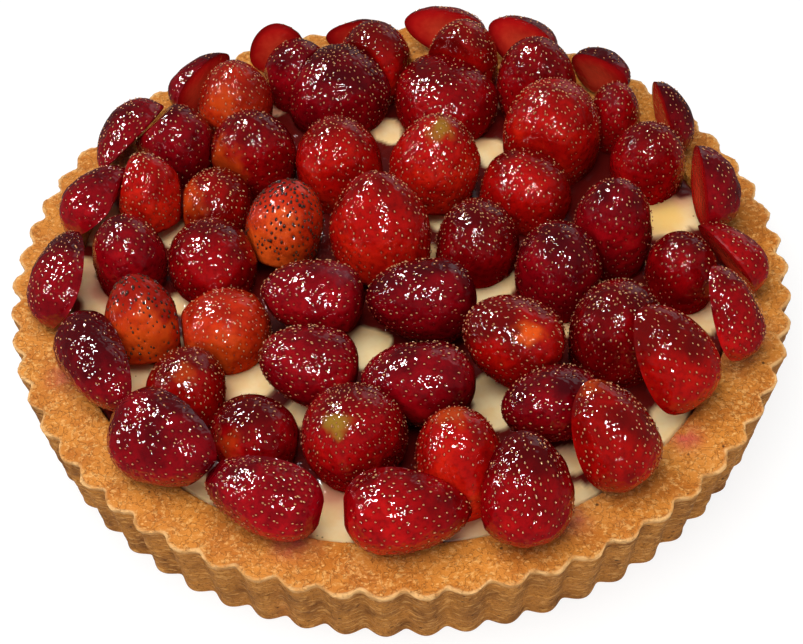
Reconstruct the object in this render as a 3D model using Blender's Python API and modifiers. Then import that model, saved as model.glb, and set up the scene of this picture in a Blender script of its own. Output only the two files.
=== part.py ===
"""Strawberry tart: a fluted pastry case filled with custard and crowded with 58 strawberries.

Everything is in metres with +Z up. The case stands on its flat base at the origin and the side
with the widest row of berries faces -Y. Lengths in the berry tables are in millimetres and angles
in degrees, because that is how fruit is laid out by hand; they are turned into metres when used.
"""

import math

import bmesh
import bpy
import numpy as np
from mathutils import Matrix, Vector

MM = 0.001

# ---------------------------------------------------------------------------
# Driving dimensions
# ---------------------------------------------------------------------------
RIM_RADIUS = 0.140            # to the crest of a flute, at the top of the wall
BASE_RADIUS = 0.1345          # to the crest of a flute, at the table
CASE_HEIGHT = 0.030
FLUTES = 62
FLUTE_STEPS = 4               # points along one flute
FLUTE_FIRST = math.radians(-117.0)
FLUTE_DEPTH_TOP = 0.0033
FLUTE_DEPTH_BASE = 0.0031
GROOVE_ROUND = 0.3            # how far the bottom of a groove is rounded
RIM_INNER_RADIUS = 0.118      # where the flat rim ends and the filling begins
EDGE_ROUND = 0.0008           # softened inner and outer edges of the rim
CASE_FLOOR = 0.006            # pastry under the filling
CASE_FLOOR_RADIUS = 0.1165
INNER_LEAN = (RIM_INNER_RADIUS - CASE_FLOOR_RADIUS) / (CASE_HEIGHT - CASE_FLOOR)
CUTTER_EXTRA = 0.005          # how far the cutter stands out of the rim
RIM_EDGES_OVER = math.radians(84.0)   # sharper than this is an edge of the rim or the floor
SMOOTH_UNDER = math.radians(50.0)

CUSTARD_TOP = 0.028           # 2 mm under the rim
ROUND_STEPS = 124             # points round the filling and the space for it
GAP = 0.0003                  # air kept between any two pieces, so that none cuts another

BERRY_RINGS = 5               # rings of points below the tip
CHARACTER_STEP = 2.4          # radians by which the lobes turn from one berry to the next
HALF_BLUNTNESS = 1.9          # of the tips of the halves
STANDING_FOOT = 0.30          # where a standing berry would close, in lengths below its foot
LYING_FOOT = 0.01             # the same for halves and lying berries, whose ends are round
LYING_OVER = 45.0             # degrees of lean past which a berry counts as lying
END_FULLNESS = 2.3            # squareness of the cut end
WHOLE_STEPS = 10              # points round a whole berry
HALF_STEPS = 8                # points round the skin of a half berry
WIDEST_AT = 0.36              # share of the length from the cut end where a berry is widest
PRESS_INTO_FILLING = 0.0008   # a whole berry settles this much and is flattened by it
STEEPEST_PRESS = 0.7          # rise of the steepest direction in which berries press each other

# ---------------------------------------------------------------------------
# The fruit
# ---------------------------------------------------------------------------
TONES = {
    "burgundy": (0.16, 0.004, 0.010),
    "crimson": (0.33, 0.006, 0.012),
    "scarlet": (0.52, 0.012, 0.010),
    "orange": (0.62, 0.075, 0.012),
}

# Halves stand or lie on the rim with the cut face turned to the middle of the tart.
# (bearing, distance, width, length, slope of the cut face, turn of the tip, turn of the face, tone)
# A turn of the tip of 0 points it up the slope and of 90 points it anticlockwise round the rim.
OUTER_HALVES = (
    (128, 117.5, 21, 31, 0, -74, 12, "burgundy"),
    (112.3, 116.5, 23, 26, -2, 0, -25, "crimson"),
    (96, 119, 17, 27, -6, 80, 0, "burgundy"),
    (80, 121, 22, 33, -8, 80, -5, "crimson"),
    (65.3, 119.5, 23, 29, -8, 75, -8, "crimson"),
    (48, 119.5, 21, 28, 8, -65, 0, "burgundy"),
    (31, 117, 21, 31, 8, 16, -15, "burgundy"),
    (11.5, 111.5, 30, 31, 2, 20, -7, "burgundy"),
    (356, 115.5, 22, 32, 19, 80, 33, "crimson"),
    (341.5, 117.3, 24, 34, 30, 25, 0, "crimson"),
    (327, 105, 30, 40, 35, 0, 0, "scarlet"),
    (307, 110, 31, 38, 40, 0, 0, "scarlet"),
    (289, 115, 30, 37, 40, 10, 0, "crimson"),
    (270, 113, 29, 41, 40, 90, 0, "crimson"),
    (246, 114, 26, 41, 40, -90, 0, "burgundy"),
    (227, 114, 30, 41, 40, 80, 0, "burgundy"),
    (204.5, 112.5, 26, 44, 42, 86, 0, "burgundy"),
    (183, 118, 25, 39, 38, -80, 0, "burgundy"),
    (163.5, 112.5, 27, 34, 50, -80, -8, "burgundy"),
    (147.5, 116.5, 28, 40, 50, 80, 0, "burgundy"),
)

# Whole berries stand on the cut end, tip up, unless they lean.
# (bearing, distance, width, length, lean, bearing of the lean, bluntness of the tip, tone)
SECOND_RING = (
    (110, 107, 26, 27, 0, 0, 2.0, "burgundy"),
    (93.5, 106, 30, 29, 0, 0, 2.0, "scarlet"),
    (75, 105, 28, 33, 0, 0, 2.0, "scarlet"),
    (58, 104, 30, 34, 0, 0, 2.0, "crimson"),
    (40, 109, 21, 27, 0, 0, 2.0, "crimson"),
    (25, 103, 27, 30, 0, 0, 2.0, "crimson"),
    (354, 100, 26, 26, 0, 0, 2.1, "crimson"),
    (331, 84, 34, 34, 0, 0, 2.0, "crimson"),
    (303, 88, 27, 36, 70, 205, 2.0, "burgundy"),
    (280, 97, 31, 34, 6, 110, 2.2, "scarlet"),
    (258, 86, 34, 32, 15, 225, 2.0, "crimson"),
    (237, 92, 29, 23, 0, 0, 2.2, "crimson"),
    (217, 92, 28, 23, 0, 0, 2.2, "scarlet"),
    (197, 94, 25, 30, 18, 120, 1.7, "orange"),
    (177, 97, 27, 29, 0, 0, 2.0, "burgundy"),
    (159, 98, 24, 28, 18, 120, 1.8, "scarlet"),
    (143, 104, 30, 29, 0, 0, 2.0, "burgundy"),
    (126, 103, 30, 32, 0, 0, 1.7, "orange"),
)
THIRD_RING = (
    (103, 93, 39, 29, 0, 0, 2.0, "burgundy"),
    (77, 88, 40, 24, 0, 0, 2.3, "crimson"),
    (45, 83, 38, 37, 0, 0, 2.0, "scarlet"),
    (5, 77, 28, 38, 0, 0, 2.0, "burgundy"),
    (350, 57, 32, 32, 0, 0, 2.0, "burgundy"),
    (309, 59, 30, 36, 60, 170, 2.0, "scarlet"),
    (274, 63, 31, 38, 82, 180, 2.0, "burgundy"),
    (238, 61, 28, 34, 70, 175, 2.0, "burgundy"),
    (206, 68, 31, 24, 0, 0, 2.2, "orange"),
    (178, 67, 33, 25, 0, 0, 2.2, "crimson"),
    (153, 75, 27, 21, 0, 0, 2.2, "scarlet"),
    (134, 77, 31, 31, 0, 0, 2.0, "crimson"),
)
FOURTH_RING = (
    (114, 53, 33, 32, 0, 0, 1.9, "scarlet"),
    (71, 46, 33, 34, 12, 60, 1.6, "scarlet"),
    (35, 58, 33, 25, 0, 0, 2.1, "scarlet"),
    (15, 29, 31, 27, 0, 0, 1.9, "crimson"),
    (285, 26, 30, 38, 82, 180, 2.0, "burgundy"),
    (213, 37, 28, 36, 78, 180, 2.0, "burgundy"),
    (158, 43, 28, 29, 20, 60, 1.8, "orange"),
)
MIDDLE = ((127, 11, 36, 38, 15, 110, 1.6, "scarlet"),)


# ---------------------------------------------------------------------------
# Small helpers
# ---------------------------------------------------------------------------
def clear_scene():
    for obj in list(bpy.data.objects):
        bpy.data.objects.remove(obj, do_unlink=True)


def make_material(name, colour, roughness):
    material = bpy.data.materials.new(name)
    material.use_nodes = True
    shader = material.node_tree.nodes["Principled BSDF"]
    shader.inputs["Base Color"].default_value = (*colour, 1.0)
    shader.inputs["Roughness"].default_value = roughness
    return material


def polar(bearing, distance):
    """A point on the ground at a bearing in degrees and a distance in metres."""
    turn = math.radians(bearing)
    return Vector((distance * math.cos(turn), distance * math.sin(turn), 0.0))


def make_object(name, mesh, material, collection, parent):
    """Turn a finished bmesh into a smooth-shaded object under the tart's empty."""
    data = bpy.data.meshes.new(name)
    mesh.to_mesh(data)
    mesh.free()
    data.materials.append(material)
    data.shade_smooth()
    data.set_sharp_from_angle(angle=SMOOTH_UNDER)
    obj = bpy.data.objects.new(name, data)
    obj.parent = parent
    collection.objects.link(obj)
    return obj


def make_cone(bottom_radius, top_radius, height, segments):
    """An upright closed cone from bmesh's primitive, standing on its own origin."""
    mesh = bmesh.new()
    bmesh.ops.create_cone(mesh, cap_ends=True, segments=segments, radius1=bottom_radius,
                          radius2=top_radius, depth=height)
    bmesh.ops.translate(mesh, verts=mesh.verts, vec=(0.0, 0.0, 0.5 * height))
    return mesh


def add_bevel(obj, width, angle_limit):
    bevel = obj.modifiers.new("rounded edges", "BEVEL")
    bevel.width = width
    bevel.segments = 1
    bevel.limit_method = "ANGLE"
    bevel.angle_limit = angle_limit


# ---------------------------------------------------------------------------
# Pastry case and custard
# ---------------------------------------------------------------------------
def flute_wave(share):
    """Height of the flute wave, where each whole share is one flute: 0 in a groove, 1 on a crest."""
    softened = math.hypot(math.sin(math.pi * share), GROOVE_ROUND) - GROOVE_ROUND
    return softened / (math.hypot(1.0, GROOVE_ROUND) - GROOVE_ROUND)


def flute(mesh):
    """Draw the wall of a cone in between its crests, deeper at the top than at the base."""
    for vertex in mesh.verts:
        share = math.atan2(vertex.co.y, vertex.co.x) * FLUTES / (2.0 * math.pi)
        height_share = vertex.co.z / CASE_HEIGHT
        depth = FLUTE_DEPTH_BASE + (FLUTE_DEPTH_TOP - FLUTE_DEPTH_BASE) * height_share
        inset = depth * (1.0 - flute_wave(share))
        radius = math.hypot(vertex.co.x, vertex.co.y)
        vertex.co.x *= (radius - inset) / radius
        vertex.co.y *= (radius - inset) / radius


def build_case(material, collection, cutters, parent):
    mesh = make_cone(BASE_RADIUS, RIM_RADIUS, CASE_HEIGHT, FLUTES * FLUTE_STEPS)
    flute(mesh)
    case = make_object("crust", mesh, material, collection, parent)
    case.rotation_euler.z = FLUTE_FIRST - math.pi / FLUTES

    reach = CASE_HEIGHT - CASE_FLOOR + CUTTER_EXTRA
    mesh = make_cone(CASE_FLOOR_RADIUS, CASE_FLOOR_RADIUS + INNER_LEAN * reach, reach, ROUND_STEPS)
    cutter = make_object("cutter_filling_space", mesh, material, cutters, parent)
    cutter.location.z = CASE_FLOOR
    cutter.hide_render = True
    cutter.display_type = "WIRE"

    cut = case.modifiers.new("filling space", "BOOLEAN")
    cut.operation = "DIFFERENCE"
    cut.solver = "EXACT"
    cut.object = cutter
    add_bevel(case, EDGE_ROUND, RIM_EDGES_OVER)
    return case


def build_custard(material, collection, parent):
    bottom = CASE_FLOOR + GAP
    side_gap = 2.0 * GAP
    top_radius = CASE_FLOOR_RADIUS + INNER_LEAN * (CUSTARD_TOP - CASE_FLOOR) - side_gap
    mesh = make_cone(CASE_FLOOR_RADIUS - side_gap, top_radius, CUSTARD_TOP - bottom, ROUND_STEPS)
    custard = make_object("custard", mesh, material, collection, parent)
    custard.location.z = bottom
    add_bevel(custard, EDGE_ROUND, math.radians(45.0))
    return custard


# ---------------------------------------------------------------------------
# Strawberries
# ---------------------------------------------------------------------------
def outline(share, bluntness, foot):
    """Radius of a berry, as a part of its greatest, at a share of the length from the cut end."""
    if share <= WIDEST_AT:
        drop = (WIDEST_AT - share) / (WIDEST_AT + foot)
        return (1.0 - drop ** END_FULLNESS) ** (1.0 / END_FULLNESS)
    run = (share - WIDEST_AT) / (1.0 - WIDEST_AT)
    return (1.0 - run ** bluntness) ** (0.5 + 0.12 * (2.2 - bluntness))


def unevenness(turn, share, character):
    """Gentle lobes, so that no two berries are the same."""
    return (1.0 + 0.045 * math.cos(2.0 * turn + character)
            + 0.03 * (1.0 - share) * math.cos(3.0 * turn + 2.1 * character))


def berry_mesh(width, length, bluntness, foot, character, columns, sweep):
    """A ball drawn out into a berry about its origin, tip at +Z and its cut end flat.

    The ball's rings of points keep their order from the cut end to the tip, and its columns are
    spread over the sweep. A full turn gives a whole berry. Half a turn gives a half berry, whose
    last column of faces is the cut face.
    """
    mesh = bmesh.new()
    bmesh.ops.create_uvsphere(mesh, u_segments=columns, v_segments=BERRY_RINGS + 1, radius=1.0)
    bottom = min(mesh.verts, key=lambda vertex: vertex.co.z)
    bmesh.ops.dissolve_verts(mesh, verts=[bottom])
    for vertex in mesh.verts:
        ring = round(math.acos(max(-1.0, min(1.0, -vertex.co.z))) / math.pi * (BERRY_RINGS + 1))
        share = 0.5 - 0.5 * math.cos(math.pi * (ring - 1) / BERRY_RINGS)
        column = round(math.atan2(vertex.co.y, vertex.co.x) / (2.0 * math.pi) * columns) % columns
        turn = column * sweep / (columns if sweep > math.pi else columns - 1)
        radius = 0.5 * width * outline(share, bluntness, foot) * unevenness(turn, share, character)
        vertex.co = (radius * math.cos(turn), radius * math.sin(turn), (share - 0.5) * length)
    return mesh


def whole_axes(lean, bearing):
    """Rotation that leans a standing berry by an angle toward a bearing."""
    axis = Vector((-math.sin(math.radians(bearing)), math.cos(math.radians(bearing)), 0.0))
    return Matrix.Rotation(math.radians(lean), 3, axis)


def half_axes(facing, slope, turn):
    """Rotation for a half: skin outward along facing and up by slope, tip turned in its plane."""
    f, s, t = math.radians(facing), math.radians(slope), math.radians(turn)
    out = Vector((math.cos(f) * math.cos(s), math.sin(f) * math.cos(s), math.sin(s)))
    along = Vector((-math.sin(f), math.cos(f), 0.0))
    uphill = along.cross(out)
    if uphill.z < 0.0:
        uphill.negate()
    tip = math.cos(t) * uphill + math.sin(t) * along
    side = out.cross(tip)
    return Matrix((side, out, tip)).transposed()


class Berry:
    """One strawberry object, with its points in the tart's frame so that it can be pressed flat."""

    def __init__(self, obj, axes, place):
        self.obj = obj
        self.obj.rotation_euler = axes.to_euler()
        self.axes = np.array(axes)
        self.place = np.array(place)
        local = np.array([vertex.co for vertex in obj.data.vertices])
        self.points = local @ self.axes.T + self.place

    def settle(self, floor, press):
        """Rest on a level floor, flattened where it is pressed into it."""
        drop = floor - press - self.points[:, 2].min()
        self.place[2] += drop
        self.points[:, 2] = np.maximum(self.points[:, 2] + drop, floor)

    def keep_inside(self, radius, below):
        """Draw the foot of the berry inside a radius."""
        reach = np.hypot(self.points[:, 0], self.points[:, 1])
        low = (self.points[:, 2] < below) & (reach > radius)
        self.points[low, :2] *= (radius / reach[low])[:, None]

    def press(self, direction, limit):
        """Flatten whatever lies beyond a plane across a direction, moving it level."""
        level = direction * (1.0, 1.0, 0.0)
        beyond = np.maximum(self.points @ direction - limit, 0.0)
        self.points -= beyond[:, None] * level / (level @ level)

    def finish(self):
        """Place the object and give its mesh the pressed shape, in the object's own frame."""
        self.obj.location = self.place
        local = (self.points - self.place) @ self.axes
        for vertex, point in zip(self.obj.data.vertices, local):
            vertex.co = point


def foot_is_on_rim(points):
    """True when the lowest 2.5 mm of a half reaches over the rim."""
    low = points[points[:, 2] < points[:, 2].min() + 0.0025]
    return np.hypot(low[:, 0], low[:, 1]).max() > RIM_INNER_RADIUS - 0.001


def lay_out_berries(paint, collection, parent):
    berries = []
    for row in OUTER_HALVES:
        bearing, distance, width, length, slope, tip_turn, face_turn, tone = row
        number = len(berries) + 1
        mesh = berry_mesh(width * MM, length * MM, HALF_BLUNTNESS, LYING_FOOT,
                          CHARACTER_STEP * number, HALF_STEPS, math.pi)
        obj = make_object(f"berry_{number:02d}", mesh, paint[tone], collection, parent)
        berry = Berry(obj, half_axes(bearing + face_turn, slope, tip_turn),
                      polar(bearing, distance * MM))
        floor = CASE_HEIGHT if foot_is_on_rim(berry.points) else CUSTARD_TOP
        berry.settle(floor + GAP, 0.0)
        berries.append(berry)
    for row in SECOND_RING + THIRD_RING + FOURTH_RING + MIDDLE:
        bearing, distance, width, length, lean, toward, bluntness, tone = row
        number = len(berries) + 1
        foot = LYING_FOOT if lean > LYING_OVER else STANDING_FOOT
        mesh = berry_mesh(width * MM, length * MM, bluntness, foot, CHARACTER_STEP * number,
                          WHOLE_STEPS, 2.0 * math.pi)
        obj = make_object(f"berry_{number:02d}", mesh, paint[tone], collection, parent)
        berry = Berry(obj, whole_axes(lean, toward), polar(bearing, distance * MM))
        berry.settle(CUSTARD_TOP + GAP, PRESS_INTO_FILLING)
        berry.keep_inside(RIM_INNER_RADIUS - 2.0 * GAP, CASE_HEIGHT + GAP)
        berries.append(berry)
    return berries


def compass(count):
    """Directions spread over the sphere but for its poles, to look for the thinnest overlap."""
    steps = np.arange(count) + 0.5
    height = STEEPEST_PRESS * (1.0 - 2.0 * steps / count)
    turn = math.pi * (1.0 + math.sqrt(5.0)) * steps
    flat = np.sqrt(1.0 - height * height)
    return np.stack([flat * np.cos(turn), flat * np.sin(turn), height], axis=1)


def press_neighbours_apart(berries):
    """Where two berries would overlap, flatten both on a shared plane with a gap between."""
    directions = compass(900)
    for i, first in enumerate(berries):
        for second in berries[i + 1:]:
            depth = ((first.points @ directions.T).max(axis=0)
                     - (second.points @ directions.T).min(axis=0))
            best = int(depth.argmin())
            if depth[best] + GAP <= 0.0:
                continue
            direction = directions[best]
            middle = 0.5 * ((first.points @ direction).max() + (second.points @ direction).min())
            first.press(direction, middle - 0.5 * GAP)
            second.press(-direction, -(middle + 0.5 * GAP))


# ---------------------------------------------------------------------------
# Assembly
# ---------------------------------------------------------------------------
def make_collection(name):
    collection = bpy.data.collections.new(name)
    bpy.context.scene.collection.children.link(collection)
    return collection


def main():
    clear_scene()
    collection = make_collection("strawberry_tart")
    cutters = make_collection("cutters")
    tart = bpy.data.objects.new("tart", None)
    collection.objects.link(tart)

    build_case(make_material("crust", (0.60, 0.30, 0.11), 0.75), collection, cutters, tart)
    build_custard(make_material("custard", (0.78, 0.60, 0.33), 0.30), collection, tart)
    paint = {tone: make_material(f"berry_{tone}", colour, 0.15) for tone, colour in TONES.items()}
    berries = lay_out_berries(paint, collection, tart)
    press_neighbours_apart(berries)
    for berry in berries:
        berry.finish()


main()
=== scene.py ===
"""Strawberry tart, dressed: a fluted pastry case, a custard filling and 58 glazed strawberries.

Everything is in metres in the frame of the solids, +Z up, with the case standing on the origin.
The berries repeat the layout of the solids at a finer grain, and their seeds are joined meshes.
"""

import logging
import math
from dataclasses import dataclass, field
from enum import Enum

import bpy
import numpy as np
from mathutils import Matrix, Vector
from mathutils.geometry import delaunay_2d_cdt
from mathutils.kdtree import KDTree


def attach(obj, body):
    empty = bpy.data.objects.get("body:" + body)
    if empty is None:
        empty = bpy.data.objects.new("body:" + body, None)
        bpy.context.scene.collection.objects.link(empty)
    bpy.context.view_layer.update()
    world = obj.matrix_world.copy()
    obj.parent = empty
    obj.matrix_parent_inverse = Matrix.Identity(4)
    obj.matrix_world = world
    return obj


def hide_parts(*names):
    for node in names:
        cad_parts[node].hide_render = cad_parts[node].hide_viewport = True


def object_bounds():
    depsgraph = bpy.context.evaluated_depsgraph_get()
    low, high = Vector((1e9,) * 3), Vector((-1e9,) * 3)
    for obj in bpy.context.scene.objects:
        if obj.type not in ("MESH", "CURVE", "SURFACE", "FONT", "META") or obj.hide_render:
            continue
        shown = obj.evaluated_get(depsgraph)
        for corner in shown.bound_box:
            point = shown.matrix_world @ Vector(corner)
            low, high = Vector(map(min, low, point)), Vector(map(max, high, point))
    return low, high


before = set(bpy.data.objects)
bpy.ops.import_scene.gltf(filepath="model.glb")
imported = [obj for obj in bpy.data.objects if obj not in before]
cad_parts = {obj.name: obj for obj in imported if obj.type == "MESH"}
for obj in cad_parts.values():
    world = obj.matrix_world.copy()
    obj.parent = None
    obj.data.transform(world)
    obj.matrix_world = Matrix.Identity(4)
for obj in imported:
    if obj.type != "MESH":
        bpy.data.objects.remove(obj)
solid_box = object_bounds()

log = logging.getLogger("strawberry_tart")

MM = 0.001
BODY = "root"
GAP = 0.0003                  # air that the solids keep between any two pieces
GOLDEN_TURN = math.pi * (3.0 - math.sqrt(5.0))

# Lengths in the berry tables are in millimetres and angles in degrees.
# Halves: bearing, distance, width, length, slope, turn of the tip, turn of the face, tone.
OUTER_HALVES = (
    (128, 117.5, 21, 31, 0, -74, 12, "burgundy"),
    (112.3, 116.5, 23, 26, -2, 0, -25, "crimson"),
    (96, 119, 17, 27, -6, 80, 0, "burgundy"),
    (80, 121, 22, 33, -8, 80, -5, "crimson"),
    (65.3, 119.5, 23, 29, -8, 75, -8, "crimson"),
    (48, 119.5, 21, 28, 8, -65, 0, "burgundy"),
    (31, 117, 21, 31, 8, 16, -15, "burgundy"),
    (11.5, 111.5, 30, 31, 2, 20, -7, "burgundy"),
    (356, 115.5, 22, 32, 19, 80, 33, "crimson"),
    (341.5, 117.3, 24, 34, 30, 25, 0, "crimson"),
    (327, 105, 30, 40, 35, 0, 0, "scarlet"),
    (307, 110, 31, 38, 40, 0, 0, "scarlet"),
    (289, 115, 30, 37, 40, 10, 0, "crimson"),
    (270, 113, 29, 41, 40, 90, 0, "crimson"),
    (246, 114, 26, 41, 40, -90, 0, "burgundy"),
    (227, 114, 30, 41, 40, 80, 0, "burgundy"),
    (204.5, 112.5, 26, 44, 42, 86, 0, "burgundy"),
    (183, 118, 25, 39, 38, -80, 0, "burgundy"),
    (163.5, 112.5, 27, 34, 50, -80, -8, "burgundy"),
    (147.5, 116.5, 28, 40, 50, 80, 0, "burgundy"),
)
# Whole berries: bearing, distance, width, length, lean, bearing of the lean, bluntness, tone.
WHOLE_BERRIES = (
    (110, 107, 26, 27, 0, 0, 2.0, "burgundy"),
    (93.5, 106, 30, 29, 0, 0, 2.0, "scarlet"),
    (75, 105, 28, 33, 0, 0, 2.0, "scarlet"),
    (58, 104, 30, 34, 0, 0, 2.0, "crimson"),
    (40, 109, 21, 27, 0, 0, 2.0, "crimson"),
    (25, 103, 27, 30, 0, 0, 2.0, "crimson"),
    (354, 100, 26, 26, 0, 0, 2.1, "crimson"),
    (331, 84, 34, 34, 0, 0, 2.0, "crimson"),
    (303, 88, 27, 36, 70, 205, 2.0, "burgundy"),
    (280, 97, 31, 34, 6, 110, 2.2, "scarlet"),
    (258, 86, 34, 32, 15, 225, 2.0, "crimson"),
    (237, 92, 29, 23, 0, 0, 2.2, "crimson"),
    (217, 92, 28, 23, 0, 0, 2.2, "scarlet"),
    (197, 94, 25, 30, 18, 120, 1.7, "orange"),
    (177, 97, 27, 29, 0, 0, 2.0, "burgundy"),
    (159, 98, 24, 28, 18, 120, 1.8, "scarlet"),
    (143, 104, 30, 29, 0, 0, 2.0, "burgundy"),
    (126, 103, 30, 32, 0, 0, 1.7, "orange"),
    (103, 93, 39, 29, 0, 0, 2.0, "burgundy"),
    (77, 88, 40, 24, 0, 0, 2.3, "crimson"),
    (45, 83, 38, 37, 0, 0, 2.0, "scarlet"),
    (5, 77, 28, 38, 0, 0, 2.0, "burgundy"),
    (350, 57, 32, 32, 0, 0, 2.0, "burgundy"),
    (309, 59, 30, 36, 60, 170, 2.0, "scarlet"),
    (274, 63, 31, 38, 82, 180, 2.0, "burgundy"),
    (238, 61, 28, 34, 70, 175, 2.0, "burgundy"),
    (206, 68, 31, 24, 0, 0, 2.2, "orange"),
    (178, 67, 33, 25, 0, 0, 2.2, "crimson"),
    (153, 75, 27, 21, 0, 0, 2.2, "scarlet"),
    (134, 77, 31, 31, 0, 0, 2.0, "crimson"),
    (114, 53, 33, 32, 0, 0, 1.9, "scarlet"),
    (71, 46, 33, 34, 12, 60, 1.6, "scarlet"),
    (35, 58, 33, 25, 0, 0, 2.1, "scarlet"),
    (15, 29, 31, 27, 0, 0, 1.9, "crimson"),
    (285, 26, 30, 38, 82, 180, 2.0, "burgundy"),
    (213, 37, 28, 36, 78, 180, 2.0, "burgundy"),
    (158, 43, 28, 29, 20, 60, 1.8, "orange"),
    (127, 11, 36, 38, 15, 110, 1.6, "scarlet"),
)
# Where custard shows between the berries: bearing, distance, reach.
# Elsewhere a red glaze lies on it, painted dark to stand in for the shade between the berries.
BARE_CUSTARD = (
    (175, 114, 4), (180, 112, 5), (184, 108, 6), (161, 116, 5), (165, 115, 5), (162, 87, 6),
    (186, 79, 3), (205, 101, 7), (218, 74, 8), (222, 71, 8), (240, 71, 6), (248, 34, 8),
    (229, 98, 5), (234, 117, 8), (257, 101, 7), (257, 112, 8), (298, 63, 8), (294, 70, 7),
    (303, 101, 6), (321, 116, 8), (336, 62, 5), (280, 115, 8), (300, 116, 6), (15, 101, 10),
    (14, 112, 6), (349, 110, 9), (92, 77, 6), (61, 75, 7), (64, 36, 7), (355, 35, 7),
    (339, 33, 7), (46, 17, 4), (115, 105, 5), (66, 104, 4), (200, 83, 3),
)


# ---------------------------------------------------------------------------
# Tools for meshes and noise
# ---------------------------------------------------------------------------
@dataclass(frozen=True)
class Noise:
    """Smooth noise in space that is the same on every run."""

    seed: int
    TABLE_SIZE = 4096
    SCATTER = (73856093, 19349663, 83492791)
    LAYER_SHIFT = 17.3

    def value(self, points: np.ndarray) -> np.ndarray:
        """Blend random values from the corners of a unit grid.

        Args:
            points: Positions, one row each, in grid cells.

        Returns:
            One value from -1 to 1 for each position.
        """
        table = np.random.default_rng(self.seed).uniform(-1.0, 1.0, self.TABLE_SIZE)
        cell = np.floor(points).astype(np.int64)
        part = points - cell
        part = part * part * (3.0 - 2.0 * part)
        total = np.zeros(len(points))
        for corner in np.ndindex(2, 2, 2):
            weight = np.prod(np.where(corner, part, 1.0 - part), axis=1)
            x, y, z = ((cell + corner) * self.SCATTER).T
            total += weight * table[(x ^ y ^ z) % self.TABLE_SIZE]
        return total

    def layers(self, points: np.ndarray, size: float, count: int = 3) -> np.ndarray:
        """Add layers of noise, each half the size and half the strength of the one before.

        Args:
            points: Positions in metres.
            size: Size of the largest grain in metres.
            count: Number of layers.

        Returns:
            One value of about -1 to 1 for each position.
        """
        total = np.zeros(len(points))
        for step in range(count):
            shifted = points * (2.0 ** step / size) + self.LAYER_SHIFT * step
            total += 0.5 ** step * self.value(shifted)
        return total


def smooth_step(low: float, high: float, value: np.ndarray) -> np.ndarray:
    """Rise smoothly from 0 at low to 1 at high."""
    share = np.clip((value - low) / (high - low), 0.0, 1.0)
    return share * share * (3.0 - 2.0 * share)


def polar(bearing: float, distance: float) -> np.ndarray:
    """Place a point on the ground at a bearing in degrees and a distance in metres."""
    turn = math.radians(bearing)
    return np.array([distance * math.cos(turn), distance * math.sin(turn), 0.0])


def level_distance(points: np.ndarray, bearing: float, distance: float) -> np.ndarray:
    """Measure, in metres and seen from above, how far points are from a place on the ground."""
    return np.linalg.norm((points - polar(bearing, distance))[:, :2], axis=1)


def level_push(direction: np.ndarray) -> np.ndarray:
    """Find the level move that carries a point one unit along a direction."""
    return direction * (1.0, 1.0, 0.0) / (1.0 - direction[2] ** 2)


def make_piece(name: str, points: np.ndarray, faces: list, material: bpy.types.Material,
               fields: dict[str, np.ndarray] | None = None) -> bpy.types.Object:
    """Make a smooth mesh piece that rides on the tart.

    Args:
        name: Name of the piece.
        points: Vertex positions in metres.
        faces: Vertex numbers of each face.
        material: Finish of the whole piece.
        fields: Values for each vertex that the finish reads, by name.

    Returns:
        The new object, linked to the scene.
    """
    mesh = bpy.data.meshes.new(name)
    mesh.from_pydata(points.tolist(), [], faces)
    mesh.materials.append(material)
    for field_name, values in (fields or {}).items():
        layer = mesh.attributes.new(field_name, "FLOAT", "POINT")
        layer.data.foreach_set("value", np.asarray(values, np.float32))
    mesh.shade_smooth()
    mesh.validate()
    piece = bpy.data.objects.new(name, mesh)
    bpy.context.scene.collection.objects.link(piece)
    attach(piece, BODY)
    return piece


def stack_faces(rows: int, columns: int) -> list[tuple[int, ...]]:
    """Join closed rings of points into a closed stack.

    Args:
        rows: Number of rings, from the foot up.
        columns: Number of points in each ring.

    Returns:
        Quads between the rings, and at both ends triangles to the two middle points that follow
        the rings.
    """
    faces = []
    for row in range(rows - 1):
        for column in range(columns):
            after = (column + 1) % columns
            faces.append((row * columns + column, row * columns + after,
                          (row + 1) * columns + after, (row + 1) * columns + column))
    last = (rows - 1) * columns
    foot, top = rows * columns, rows * columns + 1
    for column in range(columns):
        after = (column + 1) % columns
        faces.append((after, column, foot))
        faces.append((last + column, last + after, top))
    return faces


def grid_normals(grid: np.ndarray) -> np.ndarray:
    """Work out the unit normals of rings of points.

    Args:
        grid: Points as rows by columns by 3.

    Returns:
        Normals in the same layout.
    """
    around = np.roll(grid, -1, axis=1) - np.roll(grid, 1, axis=1)
    along = np.gradient(grid, axis=0)
    normals = np.cross(around, along)
    return normals / np.maximum(np.linalg.norm(normals, axis=2, keepdims=True), 1e-12)


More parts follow.
